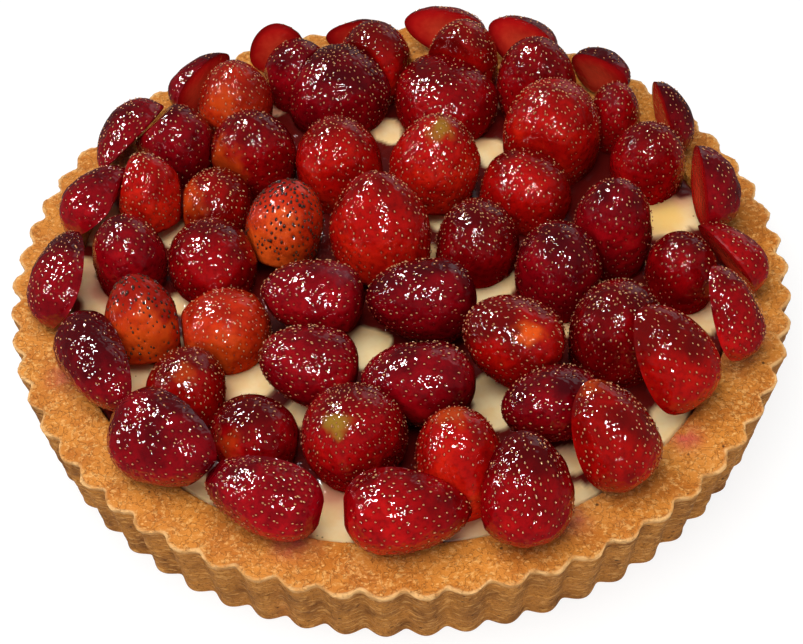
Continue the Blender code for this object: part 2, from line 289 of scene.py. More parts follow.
# ---------------------------------------------------------------------------
# Finishes
# ---------------------------------------------------------------------------
class Sketch:
    """A material under construction, with short names for the nodes it uses."""

    def __init__(self, name: str) -> None:
        """Start from a Principled material."""
        self.material = bpy.data.materials.new(name)
        self.material.use_nodes = True
        self.tree = self.material.node_tree
        self.shader = self.tree.nodes["Principled BSDF"]

    def node(self, kind: str, **settings: object) -> bpy.types.Node:
        """Add a node.

        Args:
            kind: Blender's name for the kind of node.
            settings: Properties of the node, by name.

        Returns:
            The new node.
        """
        node = self.tree.nodes.new(kind)
        for key, value in settings.items():
            setattr(node, key, value)
        return node

    def feed(self, socket: bpy.types.NodeSocket, source: object) -> None:
        """Link a socket to another, or set it to a number or a colour.

        Args:
            socket: The input socket.
            source: An output socket, a number, or a colour of three or four numbers.
        """
        if isinstance(source, bpy.types.NodeSocket):
            self.tree.links.new(source, socket)
        elif isinstance(source, tuple) and len(source) == 3 and socket.type == "RGBA":
            socket.default_value = (*source, 1.0)
        else:
            socket.default_value = source

    def set(self, **values: object) -> None:
        """Set sockets of the Principled shader by name, with underscores for spaces."""
        for key, value in values.items():
            self.feed(self.shader.inputs[key.replace("_", " ")], value)

    def position(self) -> bpy.types.NodeSocket:
        """Position in the tart's own frame."""
        return self.node("ShaderNodeTexCoord").outputs["Object"]

    def stretch(self, vector: bpy.types.NodeSocket, scale: tuple) -> bpy.types.NodeSocket:
        """Scale a vector by axis.

        Args:
            vector: Socket of the vector.
            scale: Factor for each axis.

        Returns:
            Socket of the scaled vector.
        """
        node = self.node("ShaderNodeVectorMath", operation="MULTIPLY")
        self.feed(node.inputs[0], vector)
        node.inputs[1].default_value = scale
        return node.outputs[0]

    def field(self, name: str) -> bpy.types.NodeSocket:
        """A value that the mesh holds for each vertex."""
        return self.node("ShaderNodeAttribute", attribute_name=name).outputs["Fac"]

    def noise(self, vector: bpy.types.NodeSocket, size: float, detail: float = 3.0,
              roughness: float = 0.55) -> bpy.types.NodeSocket:
        """Add smooth noise.

        Args:
            vector: Position to read it at.
            size: Size of the grain in metres.
            detail: Number of finer layers.
            roughness: Strength of each finer layer.

        Returns:
            A value from 0 to 1, mostly near 0.5.
        """
        node = self.node("ShaderNodeTexNoise")
        self.feed(node.inputs["Vector"], vector)
        node.inputs["Scale"].default_value = 1.0 / size
        node.inputs["Detail"].default_value = detail
        node.inputs["Roughness"].default_value = roughness
        return node.outputs["Fac"]

    def spots(self, vector: bpy.types.NodeSocket, size: float) -> bpy.types.NodeSocket:
        """Scatter points, one in each cell of a grid.

        Args:
            vector: Position to read it at.
            size: Size of a cell in metres.

        Returns:
            Distance to the nearest point, in cells.
        """
        node = self.node("ShaderNodeTexVoronoi")
        self.feed(node.inputs["Vector"], vector)
        node.inputs["Scale"].default_value = 1.0 / size
        return node.outputs["Distance"]

    def step(self, value: object, low: float, high: float, bottom: float = 0.0,
             top: float = 1.0) -> bpy.types.NodeSocket:
        """Rise smoothly from one value to another.

        Args:
            value: The value to read.
            low: Where the rise starts.
            high: Where the rise ends.
            bottom: Result up to low.
            top: Result from high on.

        Returns:
            Socket of the result.
        """
        node = self.node("ShaderNodeMapRange", interpolation_type="SMOOTHSTEP")
        self.feed(node.inputs["Value"], value)
        for key, number in (("From Min", low), ("From Max", high), ("To Min", bottom),
                            ("To Max", top)):
            node.inputs[key].default_value = number
        return node.outputs["Result"]

    def math(self, operation: str, first: object, second: object = 0.0) -> bpy.types.NodeSocket:
        """Combine two values.

        Args:
            operation: Blender's name for the operation.
            first: Socket or number.
            second: Socket or number.

        Returns:
            Socket of the result.
        """
        node = self.node("ShaderNodeMath", operation=operation)
        self.feed(node.inputs[0], first)
        self.feed(node.inputs[1], second)
        return node.outputs[0]

    def mix(self, share: object, first: object, second: object) -> bpy.types.NodeSocket:
        """Blend two colours.

        Args:
            share: Share of the second colour, a socket or a number.
            first: Socket or colour.
            second: Socket or colour.

        Returns:
            Socket of the blended colour.
        """
        node = self.node("ShaderNodeMix", data_type="RGBA")
        self.feed(node.inputs["Factor"], share)
        self.feed(node.inputs[6], first)
        self.feed(node.inputs[7], second)
        return node.outputs[2]

    def bump(self, height: bpy.types.NodeSocket, distance: float, strength: float = 1.0,
             under: bpy.types.NodeSocket | None = None) -> bpy.types.NodeSocket:
        """Turn a height into relief.

        Args:
            height: Socket of a height from 0 to 1.
            distance: Depth of the relief in metres.
            strength: Share of the relief that is used.
            under: Normal of a coarser relief that this one lies on.

        Returns:
            Socket of the new normal.
        """
        node = self.node("ShaderNodeBump")
        self.feed(node.inputs["Height"], height)
        node.inputs["Distance"].default_value = distance
        node.inputs["Strength"].default_value = strength
        if under is not None:
            self.feed(node.inputs["Normal"], under)
        return node.outputs["Normal"]


@dataclass(frozen=True)
class BerryFinish:
    """Skin of a strawberry under clear glaze."""

    tone: str
    shade: tuple[float, float, float]
    flesh: tuple[float, float, float]
    # Brightest skin colour, reached by painted light as well as by tone.
    tone_and_light: tuple[float, float, float]
    flush: tuple[float, float, float] = (0.72, 0.085, 0.008)
    unripe: tuple[float, float, float] = (0.30, 0.17, 0.020)
    bruise: tuple[float, float, float] = (0.11, 0.020, 0.030)
    cut_edge: tuple[float, float, float] = (0.62, 0.010, 0.010)
    cut_heart: tuple[float, float, float] = (0.86, 0.070, 0.030)

    def make(self) -> bpy.types.Material:
        """Build the material, with painted light and shade over the skin and in the seed pits."""
        s = Sketch(f"berry_{self.tone}")
        where = s.position()
        broad = s.noise(where, 0.014, 2.0)
        fine = s.noise(where, 0.0022, 4.0)
        # Random tone and painted light and shade choose among the dark, middle and bright skin
        # colours.
        tone_and_light_level = s.math("ADD", s.field("tone_and_light"), s.math("MULTIPLY", s.math("SUBTRACT", broad, 0.5), 1.6))
        skin = s.mix(s.step(tone_and_light_level, 0.05, 0.75), self.shade, self.flesh)
        skin = s.mix(s.step(tone_and_light_level, 0.65, 1.25), skin, self.tone_and_light)
        skin = s.mix(s.step(fine, 0.42, 0.72, 0.0, 0.45), skin, self.shade)
        # Painted shade darkens the seed pits.
        skin = s.mix(s.math("MULTIPLY", s.field("pit"), 0.45), skin, self.shade)
        skin = s.mix(s.field("flush"), skin, self.flush)
        skin = s.mix(s.field("unripe"), skin, self.unripe)
        skin = s.mix(s.field("bruise"), skin, self.bruise)
        flesh = s.math("ADD", s.field("heart"), s.math("MULTIPLY", s.noise(where, 0.003, 3.0), 0.5))
        cut = s.mix(s.step(flesh, 0.35, 1.05), self.cut_edge, self.cut_heart)
        skin = s.mix(s.field("cut"), skin, cut)
        ripple = s.bump(s.noise(where, 0.0021, 1.0, 0.4), 0.0006, 1.0)
        s.set(Base_Color=skin, Normal=s.bump(fine, 0.0002, 0.4), Coat_Normal=ripple)
        s.set(Roughness=0.5, Specular_IOR_Level=0.0, Coat_Weight=1.0, Coat_Roughness=0.04,
              Coat_IOR=1.5)
        return s.material


@dataclass(frozen=True)
class SeedFinish:
    """Dry skin of the seeds, each a little different, with painted shade on those facing down."""

    name: str
    pale: tuple[float, float, float]
    dark: tuple[float, float, float]

    def make(self) -> bpy.types.Material:
        """Build the material from two colours, mixed at random and by painted shade."""
        s = Sketch(self.name)
        colour = s.mix(s.field("age"), self.pale, self.dark)
        s.set(Base_Color=colour, Roughness=0.5, Specular_IOR_Level=0.2, Coat_Weight=0.5,
              Coat_Roughness=0.06)
        return s.material


@dataclass(frozen=True)
class CustardFinish:
    """Custard cream under a thin glaze, stained by juice near the fruit."""

    cream: tuple[float, float, float] = (0.95, 0.69, 0.33)
    pale: tuple[float, float, float] = (0.99, 0.81, 0.47)
    juice: tuple[float, float, float] = (0.74, 0.27, 0.19)
    # Dark red glaze, painted dark enough to stand in for the shade in the gaps.
    syrup_and_shade: tuple[float, float, float] = (0.105, 0.005, 0.004)
    vanilla: tuple[float, float, float] = (0.10, 0.055, 0.02)
    yolk: tuple[float, float, float] = (0.93, 0.64, 0.17)
    shade: tuple[float, float, float] = (0.46, 0.20, 0.09)

    def make(self) -> bpy.types.Material:
        """Build it with mottling, vanilla specks and dark red glaze painted as shade in the gaps."""
        s = Sketch("custard")
        where = s.position()
        colour = s.mix(s.step(s.noise(where, 0.009, 3.0), 0.35, 0.7), self.cream, self.pale)
        speck = s.step(s.spots(where, 0.0045), 0.05, 0.11, 0.8, 0.0)
        chosen = s.step(s.noise(where, 0.011, 1.0), 0.55, 0.60)
        colour = s.mix(s.math("MULTIPLY", speck, chosen), colour, self.vanilla)
        colour = s.mix(s.field("juice"), colour, self.juice)
        colour = s.mix(s.field("yolk"), colour, self.yolk)
        colour = s.mix(s.field("shade"), colour, self.shade)
        # Painted shade: the dark glaze covers all but the bare patches.
        colour = s.mix(s.field("syrup_and_shade"), colour, self.syrup_and_shade)
        relief = s.bump(s.noise(where, 0.004, 2.0), 0.0004, 0.35)
        s.set(Base_Color=colour, Roughness=0.28, Normal=relief)
        s.set(Coat_Normal=s.bump(s.noise(where, 0.006, 1.0), 0.0016, 1.0))
        s.set(Specular_IOR_Level=0.1, Coat_Weight=0.6, Coat_Roughness=0.04,
              Subsurface_Weight=0.10, Subsurface_Scale=0.004)
        return s.material


@dataclass(frozen=True)
class PastryFinish:
    """Baked shortcrust: grainy golden top, paler layered wall."""

    top: tuple[float, float, float] = (0.70, 0.260, 0.040)
    top_brown: tuple[float, float, float] = (0.54, 0.170, 0.022)
    top_pale: tuple[float, float, float] = (0.88, 0.48, 0.15)
    wall: tuple[float, float, float] = (0.50, 0.20, 0.036)
    wall_brown: tuple[float, float, float] = (0.24, 0.085, 0.016)
    crack: tuple[float, float, float] = (0.30, 0.085, 0.012)
    layer_line: tuple[float, float, float] = (0.15, 0.048, 0.008)
    gap: tuple[float, float, float] = (0.045, 0.014, 0.004)
    lip: tuple[float, float, float] = (0.86, 0.50, 0.20)
    bran: tuple[float, float, float] = (0.10, 0.035, 0.01)
    juice: tuple[float, float, float] = (0.64, 0.105, 0.070)

    def make(self) -> bpy.types.Material:
        """Build the material from its top and wall colours, cracks, specks and stains."""
        s = Sketch("crust")
        where = s.position()
        grain = s.noise(where, 0.0016, 5.0, 0.65)
        patches = s.noise(where, 0.012, 3.0)
        swirl = s.noise(where, 0.0026, 2.0, 0.5)
        crack = s.step(s.math("ABSOLUTE", s.math("SUBTRACT", swirl, 0.5)), 0.0, 0.026, 0.6, 0.0)
        drift = s.stretch(where, (1.0, 1.5, 1.0))
        fleck = s.step(s.spots(drift, 0.0036), 0.09, 0.19, 0.9, 0.0)
        top = s.mix(s.step(patches, 0.38, 0.66), self.top, self.top_brown)
        top = s.mix(s.step(grain, 0.50, 0.64, 0.0, 0.7), top, self.top_pale)
        top = s.mix(crack, top, self.crack)
        top = s.mix(fleck, top, self.top_pale)
        layers = s.noise(s.stretch(where, (0.30, 0.30, 1.0)), 0.0011, 2.0, 0.5)
        line = s.step(s.math("ABSOLUTE", s.math("SUBTRACT", layers, 0.5)), 0.0, 0.024, 0.85, 0.0)
        wall = s.mix(s.step(patches, 0.40, 0.75), self.wall, self.wall_brown)
        wall = s.mix(s.step(layers, 0.54, 0.66, 0.0, 0.35), wall, self.top_pale)
        wall = s.mix(line, wall, self.layer_line)
        dash = s.step(s.spots(s.stretch(where, (0.45, 0.45, 1.0)), 0.0032), 0.07, 0.13, 0.85, 0.0)
        wall = s.mix(dash, wall, self.gap)
        colour = s.mix(s.field("wall"), top, wall)
        colour = s.mix(s.field("lip"), colour, self.lip)
        speck = s.step(s.spots(where, 0.006), 0.06, 0.12, 0.9, 0.0)
        chosen = s.step(s.noise(where, 0.014, 1.0), 0.52, 0.56)
        colour = s.mix(s.math("MULTIPLY", speck, chosen), colour, self.bran)
        colour = s.mix(s.field("juice"), colour, self.juice)
        relief = s.bump(s.math("SUBTRACT", grain, s.math("MULTIPLY", crack, 0.4)), 0.0008, 1.0)
        relief = s.bump(s.math("MULTIPLY", layers, s.field("wall")), 0.0006, 0.8, relief)
        shine = s.math("ADD", s.math("MULTIPLY", s.field("glaze"), 0.5),
                       s.math("MULTIPLY", fleck, 0.25))
        rough = s.math("SUBTRACT", s.step(grain, 0.3, 0.7, 0.75, 0.60), shine)
        s.set(Base_Color=colour, Roughness=rough, Specular_IOR_Level=0.12, Normal=relief)
        return s.material


# ---------------------------------------------------------------------------
# Pastry case
# ---------------------------------------------------------------------------
@dataclass
class PastryCase:
    """The fluted case with its wide rim, as rings of points from the foot to the floor inside.

    Stains and glazed spots are given by bearing in degrees and distance and reach in millimetres.
    """

    rim_radius: float = 0.1398
    base_radius: float = 0.1343
    height: float = 0.030
    flutes: int = 62
    columns_per_flute: int = 20
    flute_first: float = math.radians(-117.0)
    depth_top: float = 0.0033
    depth_base: float = 0.0031
    groove_round: float = 0.3
    inner_radius: float = 0.118
    edge: float = 0.0010
    floor_height: float = 0.006
    floor_radius: float = 0.1165
    wall_rows: int = 30
    top_rows: int = 30
    swell_depth: float = 0.00022
    grain_depth: float = 0.00012
    crack_depth: float = 0.00030
    ledge_depth: float = 0.00025
    lip_depth: float = 0.00030
    inset: float = 0.0004
    stains: tuple = ((-108, 121, 7), (-160, 123, 6), (-17, 121, 8), (-65, 122, 6), (-40, 122, 5))
    glazed: tuple = ((-130, 124, 4), (-58, 130, 3))

    def flute_wave(self, turn: np.ndarray) -> np.ndarray:
        """Work out the wave of the flutes.

        Args:
            turn: Angles about the tart's axis.

        Returns:
            Height of the wave at each angle, 0 in a groove and 1 on a crest.
        """
        share = (turn - self.flute_first) * self.flutes / (2.0 * math.pi) + 0.5
        softened = np.hypot(np.sin(math.pi * share), self.groove_round) - self.groove_round
        whole = math.hypot(1.0, self.groove_round) - self.groove_round
        return softened / whole

    def rings(self) -> tuple[np.ndarray, dict[str, np.ndarray]]:
        """Lay out the rings.

        Returns:
            The points as rows by columns by 3, and the wall and lip fields of each point.
        """
        columns = self.flutes * self.columns_per_flute
        turn = np.arange(columns) * 2.0 * math.pi / columns
        wave = self.flute_wave(turn)
        rows = []

        def add(radius: np.ndarray, height: float, wall: float, lip: float) -> None:
            """Keep one ring and its fields."""
            rows.append((radius + np.zeros(columns), height, wall, lip))

        def outer(rise: float) -> np.ndarray:
            """Radius of the fluted wall at a share of its height."""
            crest = self.base_radius + (self.rim_radius - self.base_radius) * rise
            depth = self.depth_base + (self.depth_top - self.depth_base) * rise
            return crest - depth * (1.0 - wave)

        add(outer(0.0) - 0.0006, 0.0, 1.0, 0.0)
        for row in range(self.wall_rows + 1):
            rise = (0.0005 + (self.height - self.edge - 0.0005) * row / self.wall_rows) / self.height
            add(outer(rise), rise * self.height, 1.0, smooth_step(0.90, 0.97, np.array(rise)))
        for angle in (30.0, 60.0, 90.0):
            turned = math.radians(angle)
            add(outer(1.0) - self.edge * (1.0 - math.cos(turned)),
                self.height - self.edge * (1.0 - math.sin(turned)), 1.0 - angle / 90.0, 1.0)
        start = outer(1.0) - self.edge
        for row in range(1, self.top_rows + 1):
            share = row / self.top_rows
            radius = start + (self.inner_radius + self.edge - start) * share
            add(radius, self.height, 0.0, math.exp(-row / 0.5))
        for angle in (30.0, 60.0, 90.0):
            turned = math.radians(angle)
            add(self.inner_radius + self.edge * (1.0 - math.sin(turned)),
                self.height - self.edge * (1.0 - math.cos(turned)), 0.0, 0.0)
        add(self.inner_radius - 0.0003, 0.020, 0.0, 0.0)
        add(self.floor_radius, self.floor_height, 0.0, 0.0)
        grid = np.array([np.stack([radius * np.cos(turn), radius * np.sin(turn),
                                   np.full(columns, height)], axis=1)
                         for radius, height, _, _ in rows])
        wall = np.array([np.full(columns, row[2]) for row in rows])
        lip = np.array([np.full(columns, row[3]) for row in rows])
        return grid, {"wall": wall, "lip": lip}

    def weather(self, grid: np.ndarray, fields: dict[str, np.ndarray]) -> np.ndarray:
        """Roughen the rings as baking does, and keep them inside the solid.

        Args:
            grid: Smooth rings of points.
            fields: Wall and lip fields of the rings.

        Returns:
            The roughened rings.
        """
        normals = grid_normals(grid)
        flat = grid.reshape(-1, 3)
        shape = grid.shape[:2]
        swell = Noise(3).layers(flat, 0.009, 3).reshape(shape)
        grain = Noise(4).layers(flat, 0.0022, 3).reshape(shape)
        crack = np.abs(Noise(5).layers(flat, 0.006, 2)).reshape(shape)
        ledge = Noise(6).layers(flat * (0.18, 0.18, 1.0), 0.0028, 2).reshape(shape)
        wall = fields["wall"]
        relief = self.swell_depth * swell + self.grain_depth * grain
        relief = relief - (1.0 - wall) * self.crack_depth * np.exp(-(crack / 0.05) ** 2)
        relief = relief + wall * self.ledge_depth * ledge
        relief = relief + fields["lip"] * self.lip_depth * (0.4 + grain)
        height = grid[:, :, 2]
        free = smooth_step(0.0, 0.0015, height) * smooth_step(0.019, 0.024, height + 0.02 * wall)
        relief = (relief - self.inset) * free
        return grid + normals * relief[:, :, None]

    def build(self) -> bpy.types.Object:
        """Make the piece that stands for the solid case."""
        grid, fields = self.rings()
        grid = self.weather(grid, fields)
        points = grid.reshape(-1, 3)
        values = {name: field_values.ravel() for name, field_values in fields.items()}
        blotch = 0.55 + 0.45 * Noise(8).layers(points, 0.004, 3)
        for name, marks in (("juice", self.stains), ("glaze", self.glazed)):
            total = np.zeros(len(points))
            for bearing, distance, size in marks:
                away = level_distance(points, bearing, distance * MM)
                total = np.maximum(total, np.exp(-(away / (size * MM)) ** 2))
            values[name] = np.clip(total * blotch * 1.2, 0.0, 1.0)
        lip_breaks = smooth_step(-0.5, 0.4, Noise(9).layers(points, 0.003, 2))
        values["lip"] = values["lip"] * (0.35 + 0.65 * lip_breaks)
        points = np.vstack([points, [(0.0, 0.0, 0.0), (0.0, 0.0, self.floor_height)]])
        values = {name: np.append(held, (0.0, 0.0)) for name, held in values.items()}
        faces = stack_faces(*grid.shape[:2])
        piece = make_piece("pastry_case", points, faces, PastryFinish().make(), values)
        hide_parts("crust")
        return piece


# ---------------------------------------------------------------------------
# Strawberries
# ---------------------------------------------------------------------------
class Mark(Enum):
    """What makes a patch of one berry's skin different."""

    FLUSH = "flush"
    UNRIPE = "unripe"
    BRUISE = "bruise"


# Marks: berry, kind, bearing and height from the berry's middle, reach, all in degrees, strength.
MARKS = (
    (31, Mark.UNRIPE, 245, 52, 20, 0.9),
    (44, Mark.FLUSH, 305, 50, 24, 1.0),
    (52, Mark.UNRIPE, 280, 82, 24, 0.8),
    (56, Mark.BRUISE, 20, 40, 36, 0.8),
    (50, Mark.FLUSH, 225, 5, 45, 0.6),
    (49, Mark.FLUSH, 205, 15, 50, 0.6),
    (47, Mark.FLUSH, 260, 10, 55, 0.4),
    (34, Mark.FLUSH, 270, 0, 70, 0.8),
    (57, Mark.FLUSH, 240, 10, 50, 0.15),
    (38, Mark.FLUSH, 250, 30, 45, 0.6),
    (33, Mark.FLUSH, 280, 65, 26, 0.35),
    (32, Mark.FLUSH, 235, 20, 30, 0.3),
    (30, Mark.FLUSH, 120, 70, 26, 0.5),
    (12, Mark.FLUSH, 127, 55, 20, 0.5),
)


@dataclass
class Strawberry:
    """One berry: its size, where it sits, and the planes that press it flat."""

    number: int
    half: bool
    tone: str
    width: float
    length: float
    bluntness: float
    axes: np.ndarray
    place: np.ndarray
    floor: float = 0.0
    foot: float = 0.01
    presses: list[tuple[np.ndarray, float]] = field(default_factory=list)
    WIDEST_AT = 0.36              # share of the length from the cut end
    FULLNESS = 2.3                # squareness of the cut end
    SOFTNESS = 0.0012             # over which the skin bends into a pressed flat

    @property
    def node(self) -> str:
        """Name of the solid that the berry stands for."""
        return f"berry_{self.number:02d}"

    @property
    def character(self) -> float:
        """Turn of the lobes, different for each berry."""
        return 2.4 * self.number

    def outline(self, share: np.ndarray) -> np.ndarray:
        """Draw the side of the berry.

        Args:
            share: Shares of the length from the cut end.

        Returns:
            Radius at each share, as a part of the greatest.
        """
        drop = np.clip((self.WIDEST_AT - share) / (self.WIDEST_AT + self.foot), 0.0, 1.0)
        run = np.clip((share - self.WIDEST_AT) / (1.0 - self.WIDEST_AT), 0.0, 1.0)
        taper = (1.0 - run ** self.bluntness) ** (0.5 + 0.12 * (2.2 - self.bluntness))
        return (1.0 - drop ** self.FULLNESS) ** (1.0 / self.FULLNESS) * taper

    def skin(self, turn: np.ndarray, share: np.ndarray) -> np.ndarray:
        """Points of the skin in the berry's own frame, tip at +Z.

        Args:
            turn: Angles about the berry's axis.
            share: Shares of the length from the cut end.

        Returns:
            One row of x, y and z for each point.
        """
        lobes = (1.0 + 0.045 * np.cos(2.0 * turn + self.character)
                 + 0.03 * (1.0 - share) * np.cos(3.0 * turn + 2.1 * self.character))
        radius = 0.5 * self.width * self.outline(share) * lobes
        return np.stack([radius * np.cos(turn), radius * np.sin(turn),
                         (share - 0.5) * self.length], axis=1)

    def to_tart(self, local: np.ndarray) -> np.ndarray:
        """Carry points from the berry's frame to the tart's."""
        return local @ self.axes.T + self.place

    def outer_points(self) -> np.ndarray:
        """A light set of points of the skin, to settle and press the berry by."""
        turns = np.linspace(0.0, math.pi if self.half else 2.0 * math.pi, 19)
        shares = 0.5 - 0.5 * np.cos(np.linspace(0.0, math.pi, 12))
        turn, share = np.meshgrid(turns, shares)
        return self.to_tart(self.skin(turn.ravel(), share.ravel()))

    def settle(self, floor: float, press: float) -> None:
        """Lower or lift the berry until it rests on a level floor."""
        self.floor = floor
        self.place = self.place + (0.0, 0.0, floor - press - self.outer_points()[:, 2].min())

    def squeeze(self, points: np.ndarray) -> np.ndarray:
        """Press points flat against the neighbours and the floor, with a soft shoulder.

        Args:
            points: Points of the berry in the tart's frame.

        Returns:
            The pressed points.
        """
        for direction, limit in self.presses:
            beyond = points @ direction - (limit - self.SOFTNESS)
            eased = self.SOFTNESS * (1.0 - np.exp(-np.maximum(beyond, 0.0) / self.SOFTNESS))
            excess = np.where(beyond > 0.0, beyond - eased, 0.0)
            points = points - excess[:, None] * level_push(direction)
        points[:, 2] = np.maximum(points[:, 2], self.floor)
        return points


@dataclass
class FruitLayout:
    """Where the 58 berries sit, as the solids have them."""

    rim_height: float = 0.030
    rim_inner: float = 0.118
    custard_height: float = 0.028
    press: float = 0.0008         # how far a whole berry settles into the custard
    half_bluntness: float = 1.9
    lying_over: float = 45.0      # degrees of lean past which a berry counts as lying
    lying_foot: float = 0.01      # where a berry would close, in lengths below its foot
    standing_foot: float = 0.30
    directions: int = 900
    steepest_press: float = 0.7

    def whole_axes(self, lean: float, bearing: float) -> np.ndarray:
        """Turn the axes of a whole berry.

        Args:
            lean: Angle from upright in degrees.
            bearing: Bearing that the berry leans toward.

        Returns:
            The berry's axes as columns.
        """
        turn = math.radians(bearing)
        axis = Vector((-math.sin(turn), math.cos(turn), 0.0))
        return np.array(Matrix.Rotation(math.radians(lean), 3, axis))

    def half_axes(self, facing: float, slope: float, turn: float) -> np.ndarray:
        """Turn the axes of a half.

        Args:
            facing: Bearing that the middle of the skin faces.
            slope: How far the skin faces up, in degrees.
            turn: Turn of the tip in the plane of the cut face, from straight up the slope.

        Returns:
            The half's axes as columns: sideways, out of the skin, and toward the tip.
        """
        f, s, t = math.radians(facing), math.radians(slope), math.radians(turn)
        out = np.array([math.cos(f) * math.cos(s), math.sin(f) * math.cos(s), math.sin(s)])
        along = np.array([-math.sin(f), math.cos(f), 0.0])
        uphill = np.cross(along, out)
        uphill *= math.copysign(1.0, uphill[2])
        tip = math.cos(t) * uphill + math.sin(t) * along
        return np.stack([np.cross(out, tip), out, tip], axis=1)

    def lay_half(self, number: int, row: tuple) -> Strawberry:
        """Lay one half on the rim, or on the custard where it does not reach the rim.

        Args:
            number: Number of the berry.
            row: Its row of the table of halves.

        Returns:
            The berry in its place.
        """
        bearing, distance, width, length, slope, tip_turn, face_turn, tone = row
        berry = Strawberry(number, True, tone, width * MM, length * MM, self.half_bluntness,
                           self.half_axes(bearing + face_turn, slope, tip_turn),
                           polar(bearing, distance * MM))
        points = berry.outer_points()
        low = points[points[:, 2] < points[:, 2].min() + 0.0025]
        on_rim = np.hypot(low[:, 0], low[:, 1]).max() > self.rim_inner - 0.001
        berry.settle((self.rim_height if on_rim else self.custard_height) + GAP, 0.0)
        return berry

    def stand_whole(self, number: int, row: tuple) -> Strawberry:
        """Stand one whole berry in the custard.

        Args:
            number: Number of the berry.
            row: Its row of the table of whole berries.

        Returns:
            The berry in its place.
        """
        bearing, distance, width, length, lean, toward, bluntness, tone = row
        berry = Strawberry(number, False, tone, width * MM, length * MM, bluntness,
                           self.whole_axes(lean, toward), polar(bearing, distance * MM))
        berry.foot = self.lying_foot if lean > self.lying_over else self.standing_foot
        berry.settle(self.custard_height + GAP, self.press)
        return berry

    def compass(self) -> np.ndarray:
        """Spread directions over the sphere but for its poles, in which berries press each other.

        Returns:
            One unit vector in each row.
        """
        steps = np.arange(self.directions) + 0.5
        height = self.steepest_press * (1.0 - 2.0 * steps / self.directions)
        turn = math.pi * (1.0 + math.sqrt(5.0)) * steps
        flat = np.sqrt(1.0 - height * height)
        return np.stack([flat * np.cos(turn), flat * np.sin(turn), height], axis=1)

    def build(self) -> list[Strawberry]:
        """Place every berry and find the planes between those that would overlap.

        Returns:
            All the berries, the halves first.
        """
        rows = [self.lay_half(i, row) for i, row in enumerate(OUTER_HALVES, 1)]
        rows += [self.stand_whole(i, row) for i, row in enumerate(WHOLE_BERRIES, len(rows) + 1)]
        directions = self.compass()
        shapes = [berry.outer_points() for berry in rows]
        for i in range(len(rows)):
            for j in range(i + 1, len(rows)):
                depth = ((shapes[i] @ directions.T).max(axis=0)
                         - (shapes[j] @ directions.T).min(axis=0))
                best = int(depth.argmin())
                if depth[best] + GAP <= 0.0:
                    continue
                way = directions[best]
                middle = 0.5 * ((shapes[i] @ way).max() + (shapes[j] @ way).min())
                for index, side, limit in ((i, way, middle - 0.5 * GAP),
                                           (j, -way, -(middle + 0.5 * GAP))):
                    rows[index].presses.append((side, limit))
                    over = np.maximum(shapes[index] @ side - limit, 0.0)
                    shapes[index] = shapes[index] - over[:, None] * level_push(side)
        return rows


